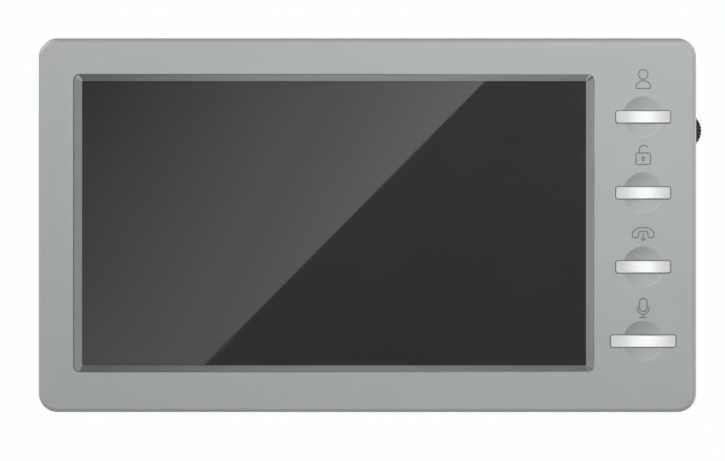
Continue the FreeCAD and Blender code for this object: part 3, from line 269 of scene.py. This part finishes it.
def board():
    """A circuit board: green mask over square-routed tracks, with round tinned pads in rows."""
    g = Graph("solder_mask")
    green, track = (0.012, 0.085, 0.035), (0.028, 0.15, 0.062)
    pitch, patch, pad_pitch = 1.1 * MM, 6.6 * MM, 2.2 * MM

    def step(size, operation):
        """The point in steps of size: its cell's corner with FLOOR, its place in it with FRACTION."""
        scaled = g.add("ShaderNodeVectorMath", {0: g.place, 3: 1 / size}, operation="SCALE")
        return g.add("ShaderNodeVectorMath", {0: scaled.outputs[0]}, operation=operation).outputs[0]

    def part(vector, letter):
        return g.add("ShaderNodeSeparateXYZ", {0: vector}).outputs[letter]

    def chance(vector):
        """A number from 0 to 1 that is the same all over a cell."""
        made = g.add("ShaderNodeTexWhiteNoise", {"Vector": vector}, noise_dimensions="3D")
        return made.outputs["Value"]

    patch_chance = chance(step(patch, "FLOOR"))
    upright = g.maths("GREATER_THAN", patch_chance, 0.5)
    within = step(pitch, "FRACTION")
    level_part, upright_part = part(within, "Z"), part(within, "X")
    across = g.add("ShaderNodeMix", {0: upright, 2: level_part, 3: upright_part}).outputs[0]
    line = g.ramp(g.maths("ABSOLUTE", g.maths("SUBTRACT", across, 0.5)), 0.2, 0.16)
    routed = g.maths("GREATER_THAN", g.maths("FRACT", g.maths("MULTIPLY", patch_chance, 7.0)), 0.3)
    copper = g.maths("MULTIPLY", line, routed)
    base = g.mix(copper, (*green, 1), (*track, 1))
    pads = g.add(
        "ShaderNodeTexVoronoi", {"Vector": g.place, "Scale": 1 / pad_pitch, "Randomness": 0.0}
    ).outputs["Distance"]
    chosen = g.maths("GREATER_THAN", chance(step(patch * 2, "FLOOR")), 0.78)
    tinned = g.maths("MULTIPLY", g.ramp(pads, 0.26, 0.22), chosen)
    base = g.mix(tinned, base, (0.6, 0.6, 0.58, 1))
    g.set(Base_Color=base, Metallic=g.maths("MULTIPLY", tinned, 0.9))
    g.set(Roughness=g.ramp(g.noise(0.4 * MM), 0.3, 0.7, 0.28, 0.4))
    return g.set(Normal=g.bump(copper, 0.03 * MM, 0.6))


def foam(name, colour):
    """Open-cell foam or rubber: dull, with small cells whose hollows are painted darker as shade."""
    g = Graph(name)
    cell_size = 0.35 * MM
    made = g.add("ShaderNodeTexVoronoi", {"Vector": g.place, "Scale": 1 / cell_size})
    cells = made.outputs["Distance"]
    # Painted shade: each cell is painted darker towards its middle, where the bump sinks it.
    base = g.mix(g.ramp(cells, 0.1, 0.6), shade(colour, 0.4), shade(colour, 1.1))
    g.set(Base_Color=base, Roughness=0.85, Normal=g.bump(cells, 0.08 * MM, 0.7))
    return g


def paper_cone():
    """Pressed paper with short fibres."""
    g = Graph("pressed_paper")
    fibres = g.noise(0.4 * MM, 5.0, (6, 1, 1))
    base = g.mix(fibres, (0.02, 0.019, 0.018, 1), (0.07, 0.066, 0.06, 1))
    g.set(Base_Color=base, Roughness=0.8, Normal=g.bump(fibres, 0.05 * MM, 0.6))
    return g


def label_film():
    """The blank rating label: satin white film with a thin printed border and light scuffs."""
    g = Graph("label_film")
    low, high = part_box("rating_label")
    centre, half = (low + high) / 2, (high - low) / 2
    sideways = g.maths("ABSOLUTE", g.maths("SUBTRACT", g.axis("X"), centre.x))
    upward = g.maths("ABSOLUTE", g.maths("SUBTRACT", g.axis("Z"), centre.z))
    inset = 1.6 * MM
    from_edge = g.maths(
        "MAXIMUM",
        g.maths("SUBTRACT", sideways, half.x - inset),
        g.maths("SUBTRACT", upward, half.z - inset),
    )
    line = g.ramp(g.maths("ABSOLUTE", from_edge), 0.16 * MM, 0.1 * MM)
    scuffs = g.ramp(g.noise(3 * MM, 5.0, (4, 1, 1)), 0.55, 0.75, 0.0, 0.25)
    base = g.mix(scuffs, (0.64, 0.64, 0.63, 1), (0.55, 0.55, 0.54, 1))
    g.set(Base_Color=g.mix(line, base, (0.08, 0.08, 0.08, 1)))
    g.set(Roughness=g.ramp(scuffs, 0.0, 0.25, 0.34, 0.5))
    g.set(Normal=g.bump(g.noise(0.6 * MM, 2.0), 0.003 * MM, 0.5))
    return g


def flex_film():
    """Amber film with copper tracks that run along its length."""
    g = Graph("flex_film")
    pitch = 1.0 * MM
    across = g.maths("FRACT", g.maths("MULTIPLY", g.axis("X"), 1 / pitch))
    tracks = g.ramp(g.maths("ABSOLUTE", g.maths("SUBTRACT", across, 0.5)), 0.2, 0.26)
    cloud = g.noise(3 * MM, 2.0)
    base = g.mix(tracks, (0.42, 0.16, 0.03, 1), (0.24, 0.09, 0.015, 1))
    base = g.mix(g.maths("MULTIPLY", cloud, 0.3), base, (0.5, 0.25, 0.06, 1))
    g.set(Base_Color=base, Roughness=g.ramp(cloud, 0.3, 0.7, 0.2, 0.3), Coat_Weight=0.4)
    return g


def ribbon_pvc():
    """Grey ribbon cable: round cores side by side, painted darker in the grooves between them as shade,
    with one red edge.
    """
    g = Graph("ribbon_pvc")
    pitch = 1.27 * MM
    cores = g.maths("FRACT", g.maths("MULTIPLY", g.axis("Z"), 1 / pitch))
    groove = g.maths("ABSOLUTE", g.maths("SUBTRACT", cores, 0.5))
    # Painted shade: the grooves between the cores are painted darker.
    base = g.mix(g.ramp(groove, 0.36, 0.5), (0.36, 0.36, 0.35, 1), (0.16, 0.16, 0.155, 1))
    base = g.mix(g.ramp(g.axis("Z"), 2.6 * MM, 2.7 * MM), base, (0.4, 0.04, 0.03, 1))
    g.set(Base_Color=base, Roughness=0.45, Normal=g.bump(g.ramp(groove, 0.0, 0.5), 0.2 * MM, 0.8))
    return g


def symbol_ink():
    """The grey ink of the key symbols: matte, a little uneven."""
    g = Graph("symbol_ink")
    patchy = g.noise(0.3 * MM, 3.0)
    base = g.mix(g.ramp(patchy, 0.3, 0.7), (0.17, 0.178, 0.182, 1), (0.21, 0.218, 0.222, 1))
    g.set(Base_Color=base, Roughness=g.ramp(patchy, 0.3, 0.7, 0.5, 0.62))
    g.set(Normal=g.bump(patchy, 0.003 * MM, 0.5))
    return g


# ---------------------------------------------------------------- materials on the CAD nodes


def dress_nodes():
    """Gives every CAD node its material."""
    zinc = metal("zinc_screws", (0.62, 0.62, 0.6), 0.36)
    stamped = metal("stamped_steel", (0.5, 0.51, 0.52), 0.36, brushed=(8, 1, 1))
    nylon = plastic("natural_nylon", (0.74, 0.72, 0.66), 0.4, grain=0.3 * MM, mottle=0.03, wear=0.03)
    black = plastic(
        "black_plastic",
        (0.028, 0.028, 0.029),
        0.45,
        grain=0.3 * MM,
        height=0.005 * MM,
        mottle=0.1,
        wear=0.1,
    )
    wheel = plastic(
        "wheel_plastic",
        (0.012, 0.012, 0.012),
        0.42,
        grain=0.2 * MM,
        height=0.003 * MM,
        mottle=0.08,
        wear=0.06,
        Specular_IOR_Level=0.2,
    )
    chips = plastic("chip_epoxy", (0.018, 0.018, 0.019), 0.5, grain=0.15 * MM, mottle=0.15, wear=0.1)
    rear = plastic(
        "rear_shell_plastic",
        (0.31, 0.315, 0.32),
        0.55,
        grain=0.4 * MM,
        height=0.012 * MM,
        mottle=0.03,
        wear=0.06,
    )
    glass = plastic("lcd_glass", (0.012, 0.014, 0.02), 0.08, Coat_Weight=0.6, Coat_Roughness=0.08)
    green = board()
    dull_foam = foam("black_foam", (0.03, 0.03, 0.03))
    rubber = foam("black_rubber", (0.02, 0.02, 0.02))
    given = {
        "front_casing": front_paint(),
        "rear_casing": rear,
        "casing_screws": zinc,
        "screen_bezel": bezel_paint(),
        "screen_window": window_acrylic(),
        "screen_gasket": dull_foam,
        "lcd_frame": stamped,
        "lcd_cell": glass,
        "lcd_backlight": plastic("light_guide", (0.8, 0.8, 0.8), 0.3),
        "lcd_strap_left": stamped,
        "lcd_strap_right": stamped,
        "lcd_strap_screws": zinc,
        "button_board": green,
        "button_board_screws": zinc,
        "button_board_header": nylon,
        "volume_pot_base": black,
        "volume_rivet": metal("brass_rivet", (0.72, 0.5, 0.2), 0.36),
        "volume_wheel": wheel,
        "microphone_boot": rubber,
        "microphone_capsule": metal("capsule_can", (0.7, 0.7, 0.71), 0.36),
        "microphone_leads": plastic("red_sleeve", (0.35, 0.02, 0.015), 0.4),
        "speaker_gasket": dull_foam,
        "speaker_basket": metal("basket_steel", (0.42, 0.43, 0.44), 0.4),
        "speaker_cone": paper_cone(),
        "speaker_magnet": metal("ferrite", (0.06, 0.06, 0.065), 0.6),
        "speaker_screws": zinc,
        "speaker_leads": plastic("lead_sleeve", (0.3, 0.02, 0.02), 0.4),
        "main_board": green,
        "main_board_screws": zinc,
        "main_board_chips": chips,
        "power_inductors": metal("inductor_ferrite", (0.1, 0.1, 0.105), 0.65),
        "capacitors": metal("capacitor_can", (0.66, 0.66, 0.67), 0.35, brushed=(1, 12, 1)),
        "board_headers": nylon,
        "door_station_sockets": nylon,
        "power_socket": plastic("red_nylon", (0.45, 0.05, 0.03), 0.4),
        "socket_pins": metal("tinned_pins", (0.75, 0.72, 0.62), 0.19),
        "lcd_flex": flex_film(),
        "button_ribbon": ribbon_pvc(),
        "rating_label": label_film(),
        "wall_bracket": metal("zinc_plate", (0.66, 0.67, 0.68), 0.4, spangle=0.5, grime=0.15),
    }
    keys = pearl()
    for key in KEYS:
        given[f"{key}_button"] = keys
        given[f"{key}_switch"] = black
        given[f"{key}_plunger"] = nylon
    for name, node in nodes.items():
        node.data.materials.clear()
        node.data.materials.append(given[name].material)


# ---------------------------------------------------------------- key symbols

STROKE = 0.4 * MM
PRINT_HEIGHT = 0.03 * MM
# Each stroke of a symbol is higher than the one before by this part, so no two share a top face.
HEIGHT_STEP = 0.15
# The open end of a stroke is this part of its width.
END_WIDTH = 0.45


def arc(centre, radii, start, end, steps=24):
    """Points of an elliptical arc about centre, from start to end degrees."""
    angles = [math.radians(start + (end - start) * i / steps) for i in range(steps + 1)]
    return [(centre[0] + radii[0] * math.cos(a), centre[1] + radii[1] * math.sin(a)) for a in angles]


def ring(centre, radii, steps=40):
    """A closed ellipse."""
    return arc(centre, radii, 0, 360 - 360 / steps, steps - 1)


def rounded_box(left, right, low, high, radius):
    """A closed box with rounded corners."""
    turns = ((right, high, 0), (left, high, 90), (left, low, 180), (right, low, 270))
    points = []
    for x, z, start in turns:
        inward_x = -radius if x == right else radius
        inward_z = -radius if z == high else radius
        points += arc((x + inward_x, z + inward_z), (radius, radius), start, start + 90, 6)
    return points


def print_symbol(name, lines, centre_x, centre_z):
    """A symbol as one thin printed piece, with one stroke for each line of points in millimetres."""
    vertices, faces = [], []
    for number, (points, closed) in enumerate(lines):
        loop = [Vector((centre_x + x * MM, centre_z + z * MM)) for x, z in points]
        stroke_prism(loop, closed, PRINT_HEIGHT * (1 + HEIGHT_STEP * number), vertices, faces)
    mesh = bpy.data.meshes.new(name)
    mesh.from_pydata(vertices, [], faces)
    mesh.validate()
    mesh.materials.append(ink.material)
    piece = bpy.data.objects.new(name, mesh)
    bpy.context.scene.collection.objects.link(piece)
    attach(piece, "monitor")


def stroke_prism(points, closed, height, vertices, faces):
    """Adds the closed solid of one stroke along points: flat sides, a flat top and narrowed ends."""
    if not closed:
        first = (points[0] - points[1]).normalized() * STROKE / 2
        last = (points[-1] - points[-2]).normalized() * STROKE / 2
        points = [points[0] + first, *points, points[-1] + last]
    count, start = len(points), len(vertices)
    for i, point in enumerate(points):
        before = points[i - 1] if closed or i else point
        after = points[(i + 1) % count] if closed or i < count - 1 else point
        along = (after - before).normalized()
        narrow = END_WIDTH if not closed and i in (0, count - 1) else 1.0
        side = Vector((-along.y, along.x)) * STROKE / 2 * narrow
        for x, z in (point + side, point - side):
            for y in (face_y, face_y - height):
                vertices.append((x, y, z))
    for i in range(count if closed else count - 1):
        a, b = start + 4 * i, start + 4 * ((i + 1) % count)
        faces += [(a, b, b + 1, a + 1), (a + 1, b + 1, b + 3, a + 3)]
        faces += [(a + 3, b + 3, b + 2, a + 2), (a + 2, b + 2, b, a)]
    if not closed:
        end = start + 4 * (count - 1)
        faces += [(start, start + 1, start + 3, start + 2), (end, end + 2, end + 3, end + 1)]


def person():
    """A head over shoulders."""
    shoulders = arc((0, -0.28), (2.23, 2.03), 0, 180, 30)
    shoulders += arc((-1.9, -0.33), (0.33, 0.33), 180, 270, 5)
    shoulders += arc((1.9, -0.33), (0.33, 0.33), 270, 360, 5)
    return [(ring((0, 3.69), (1.46, 1.5)), True), (shoulders, True)]


def open_padlock():
    """A padlock whose shackle stands open."""
    shackle = [(-1.27, 1.77)] + arc((0.14, 2.72), (1.41, 1.41), 180, 36, 20)
    return [
        (rounded_box(-2.25, 2.25, -1.77, 1.77, 0.5), True),
        (shackle, False),
        (ring((-0.04, 0.02), (0.36, 0.62), 20), True),
    ]


def handset():
    """A handset laid down over an arrow that points down."""
    outer = arc((0, 0), (3.38, 2.26), 0, 180, 36)
    left_lobe = arc((-2.4, 0), (0.98, 1.0), 180, 360, 16)
    inner = [(-1.42, 0.4)] + arc((-0.92, 0.51), (0.5, 0.5), 150, 90, 5)
    inner += arc((0.92, 0.51), (0.5, 0.5), 90, 30, 5) + [(1.42, 0.4)]
    right_lobe = arc((2.4, 0), (0.98, 1.0), 180, 360, 16)[:-1]
    shaft = [(0, 0.33), (0, -1.8)]
    head = [(-0.62, -1.33), (0, -1.86), (0.62, -1.33)]
    return [(outer + left_lobe[1:] + inner + right_lobe, True), (shaft, False), (head, False)]


def microphone():
    """A microphone capsule in its holder, on a short foot."""
    capsule = arc((0, 0.86), (1.18, 1.18), 0, 180, 18)
    capsule += arc((0, -0.86), (1.18, 1.18), 180, 360, 18)
    holder = arc((0, -0.72), (1.88, 2.17), 180, 360, 26)
    stem = [(0, -2.95), (0, -3.8)]
    foot = [(-1.0, -3.88), (1.0, -3.88)]
    return [(capsule, True), (holder, False), (stem, False), (foot, False)]


def print_symbols():
    """The four symbols, each above its key by a distance in millimetres."""
    drawn = (
        ("view", person(), 9.45),
        ("unlock", open_padlock(), 10.55),
        ("hangup", handset(), 9.98),
        ("talk", microphone(), 11.23),
    )
    for key, lines, above in drawn:
        place = middle(f"{key}_button")
        print_symbol(f"{key}_symbol", lines, place.x, place.z + above * MM)


ink = symbol_ink()


# ---------------------------------------------------------------- floor, cards, lights and camera

CAMERA = Vector((-1.55 * MM, -1.2, -1.64 * MM))
# What the camera sees across, at the face.
VIEW_WIDTH = 224.3 * MM
# About how far the camera's rays travel on from the window and the keys to their cards.
CARD_DISTANCE = 1.25


def flat_piece(name, corners, material):
    """A flat stage piece through its corners."""
    mesh = bpy.data.meshes.new(name)
    mesh.from_pydata([tuple(c) for c in corners], [], [tuple(range(len(corners)))])
    mesh.materials.append(material)
    piece = bpy.data.objects.new(name, mesh)
    bpy.context.scene.collection.objects.link(piece)
    return piece


def floor():
    """A plain pale floor well below the monitor. It fades at its rim, and is clear from beneath."""
    g = Graph("floor_paint")
    g.set(Base_Color=(0.86, 0.86, 0.86, 1), Roughness=0.8)
    grain = g.noise(8 * MM, 3.0)
    g.set(Normal=g.bump(grain, 0.05 * MM, 0.3))
    radius, drop, sides = 0.75, 0.16, 60
    fade_start, fade_end = 0.25, radius * 0.98
    angles = [math.radians(360 / sides * i) for i in range(sides)]
    corners = [(radius * math.cos(a), radius * math.sin(a), body_low.z - drop) for a in angles]
    distance = g.add("ShaderNodeVectorMath", {0: g.place}, operation="LENGTH").outputs["Value"]
    clear = g.add("ShaderNodeBsdfTransparent")
    beneath = g.add("ShaderNodeNewGeometry").outputs["Backfacing"]
    white = g.add("ShaderNodeEmission", {"Color": WHITE, "Strength": 1.0})
    faded = g.ramp(distance, fade_start, fade_end)
    blend = g.add("ShaderNodeMixShader", {0: faded, 1: g.shader.outputs[0], 2: white.outputs[0]})
    one_sided = g.add("ShaderNodeMixShader", {0: beneath, 1: blend.outputs[0], 2: clear.outputs[0]})
    g.show(one_sided.outputs[0])
    piece = flat_piece("floor", corners, g.material)
    piece.visible_diffuse = False
    piece.visible_glossy = False
    piece.visible_shadow = False


def card_material(name, strength):
    """A glowing card. strength is a number or a function of the graph that gives a socket."""
    g = Graph(name)
    power = strength(g) if callable(strength) else strength
    glow = g.add("ShaderNodeEmission", {"Color": WHITE, "Strength": power})
    g.show(glow.outputs[0])
    g.material.cycles.emission_sampling = "NONE"
    return g.material


def gloss_only(piece):
    """Lets nothing but polished surfaces see a card."""
    piece.visible_camera = False
    piece.visible_diffuse = False
    piece.visible_shadow = False
    piece.visible_transmission = False
    piece.visible_volume_scatter = False


def mirrored(point, normal, distance):
    """Where the camera's ray goes after a mirror at point, distance metres further on."""
    point, normal = Vector(point), Vector(normal).normalized()
    ray = (point - CAMERA).normalized()
    return point + (ray - 2 * ray.dot(normal) * normal) * distance


def window_card():
    """The studio card whose slanted edge crosses the window's reflection, fading to the upper left."""
    facing = (0, -1, 0)
    width, fade_length, past_top, past_bottom = 0.3, 0.2, 0.05, 0.3
    glow_at_top, glow_at_bottom = 2.3, 1.55
    behind_camera = 0.05
    high = mirrored((37.6 * MM, window_y, 45.8 * MM), facing, CARD_DISTANCE)
    low = mirrored((-51.6 * MM, window_y, -44.4 * MM), facing, CARD_DISTANCE)
    high.y = low.y = CAMERA.y - behind_camera
    along = (high - low).normalized()
    away = Vector((-along.z, 0, along.x))
    length = (high - low).length
    high, low = high + along * past_top, low - along * past_bottom
    corners = [low, high, high + away * width, low + away * width]

    def fading(g):
        def part_along(offset, direction):
            made = g.add("ShaderNodeVectorMath", {0: offset, 1: tuple(direction)}, operation="DOT_PRODUCT")
            return made.outputs["Value"]

        moved = g.add("ShaderNodeVectorMath", {0: g.place, 1: tuple(high)}, operation="SUBTRACT")
        offset = moved.outputs[0]
        reach, down = part_along(offset, away), part_along(offset, -along)
        near = g.ramp(down, past_top, past_top + length, glow_at_top, glow_at_bottom, "LINEAR")
        drop = g.ramp(reach, 0.0, fade_length, 1.0, 0.0, "LINEAR")
        return g.maths("MULTIPLY", near, drop)

    gloss_only(flat_piece("window_card", corners, card_material("window_card_glow", fading)))


def facing_card(name, centre, size, strength, target):
    """A rectangular card about centre that faces a target."""
    toward = (Vector(target) - centre).normalized()
    side = toward.cross(Vector((0, 0, 1))).normalized()
    up = side.cross(toward)
    half_side, half_up = side * size[0] / 2, up * size[1] / 2
    corners = [
        centre - half_side - half_up,
        centre + half_side - half_up,
        centre + half_side + half_up,
        centre - half_side + half_up,
    ]
    gloss_only(flat_piece(name, corners, card_material(f"{name}_glow", strength)))


def key_card():
    """The tall card whose reflection is the bright band in the middle of every key."""
    place = middle("unlock_button")
    shift, size = Vector((0.02, 0, -0.1)), (0.11, 1.2)
    centre = mirrored((place.x, face_y, 0), (0, -1, 0), CARD_DISTANCE) + shift

    def stronger_below(g):
        return g.ramp(g.axis("Z"), -0.04, 0.08, 11.0, 8.2, "LINEAR")

    facing_card("key_card", centre, size, stronger_below, (place.x, 0, 0))


def bevel_cards():
    """Four cards round the screen's frame. Each is seen by the bevel on the frame's opposite side."""
    slope = math.tan(BEVEL_ANGLE)
    centre = (window_low + window_high) / 2
    half = (window_high - window_low) / 2
    brightest_x, right_end = -0.025, 0.11

    def band(peak, left_end, at_right):
        """A glow that rises from left_end to its peak, then falls to at_right of it at the right end."""

        def fading(g):
            left = g.ramp(g.axis("X"), left_end, brightest_x, 0.0, 1.0, "LINEAR")
            right = g.ramp(g.axis("X"), brightest_x, right_end, 1.0, at_right, "LINEAR")
            return g.maths("MULTIPLY", peak, g.maths("MULTIPLY", left, right))

        return fading

    def stronger_above(g):
        return g.ramp(g.axis("Z"), -0.3, 0.3, 0.54, 1.53, "LINEAR")

    near, far = 0.4, 0.8
    wide, tall = (0.5, 0.24), (0.35, 0.6)
    below = band(peak=2.42, left_end=-0.115, at_right=0.3)
    above = band(peak=1.73, left_end=-0.095, at_right=0.15)
    for name, side, normal, distance, size, strength in (
        ("below_card", (0, half.z), (0, -1, -slope), near, wide, below),
        ("above_card", (0, -half.z), (0, -1, slope), near, wide, above),
        ("right_card", (-half.x, 0), (slope, -1, 0), far, tall, 0.97),
        ("left_card", (half.x, 0), (-slope, -1, 0), far, tall, stronger_above),
    ):
        point = Vector((centre.x + side[0], face_y, centre.z + side[1]))
        facing_card(name, mirrored(point, normal, distance), size, strength, point)


def area_light(name, place, size, power, toward, shadow=True):
    """A soft area light of so many watts, aimed at a point. The camera and mirrors don't see it."""
    lamp = bpy.data.lights.new(name, "AREA")
    lamp.shape, lamp.size, lamp.size_y, lamp.energy = "RECTANGLE", size[0], size[1], power
    lamp.use_shadow = shadow
    holder = bpy.data.objects.new(name, lamp)
    holder.location = place
    holder.rotation_euler = (Vector(toward) - Vector(place)).to_track_quat("-Z", "Y").to_euler()
    holder.visible_camera = False
    holder.visible_glossy = False
    bpy.context.scene.collection.objects.link(holder)


def studio():
    """World and soft lights. The lights in front are shadowless, as in a light tent."""
    world = bpy.data.worlds.new("studio")
    bpy.context.scene.world = world
    world.use_nodes = True
    tree = world.node_tree
    tree.nodes.clear()
    direction = add_node(tree, "ShaderNodeTexCoord").outputs["Generated"]
    to_wall = add_node(tree, "ShaderNodeSeparateXYZ", {0: direction}).outputs["Y"]
    brighter_behind = {"From Min": -0.1, "From Max": 0.6, "To Min": 0.2, "To Max": 0.7}
    made = add_node(tree, "ShaderNodeMapRange", {"Value": to_wall, **brighter_behind})
    filling = made.outputs["Result"]
    seen = add_node(tree, "ShaderNodeLightPath").outputs["Is Camera Ray"]
    strength = add_node(tree, "ShaderNodeMix", {0: seen, 2: filling, 3: 1.0}).outputs[0]
    white = add_node(tree, "ShaderNodeBackground", {"Color": WHITE, "Strength": strength})
    add_node(tree, "ShaderNodeOutputWorld", {"Surface": white.outputs["Background"]})
    front = (0.02, 0, 0)
    area_light("key_light", (-0.43, -0.25, 0.49), (0.3, 0.3), 3.6, front, shadow=False)
    area_light("near_light", (0.19, -0.34, 0.22), (0.15, 0.15), 0.86, front, shadow=False)
    area_light("side_light", (-1.4, -0.38, -0.39), (0.5, 0.5), 6.5, front, shadow=False)
    area_light("right_edge_light", (1.3, 0.15, 0.1), (0.3, 0.3), 11.0, front)
    area_light("lower_edge_light", (0.4, 0.15, -1.25), (0.3, 0.3), 7.0, front)
    area_light("back_light", (0.6, 1.3, 0.9), (0.9, 0.7), 25.0, (0, 0, 0))


def camera():
    """A camera straight in front of the screen, whose view is VIEW_WIDTH wide at the face."""
    data = bpy.data.cameras.new("camera")
    holder = bpy.data.objects.new("camera", data)
    bpy.context.scene.collection.objects.link(holder)
    data.sensor_width = 36
    data.lens = data.sensor_width * (face_y - CAMERA.y) / VIEW_WIDTH
    data.clip_start, data.clip_end = 0.01, 20
    holder.location = CAMERA
    holder.rotation_euler = (math.radians(90), 0, 0)
    bpy.context.scene.camera = holder


# ---------------------------------------------------------------- the scene

bpy.context.scene.view_settings.view_transform = "Standard"
dress_nodes()
print_symbols()
floor()
window_card()
key_card()
bevel_cards()
studio()
camera()
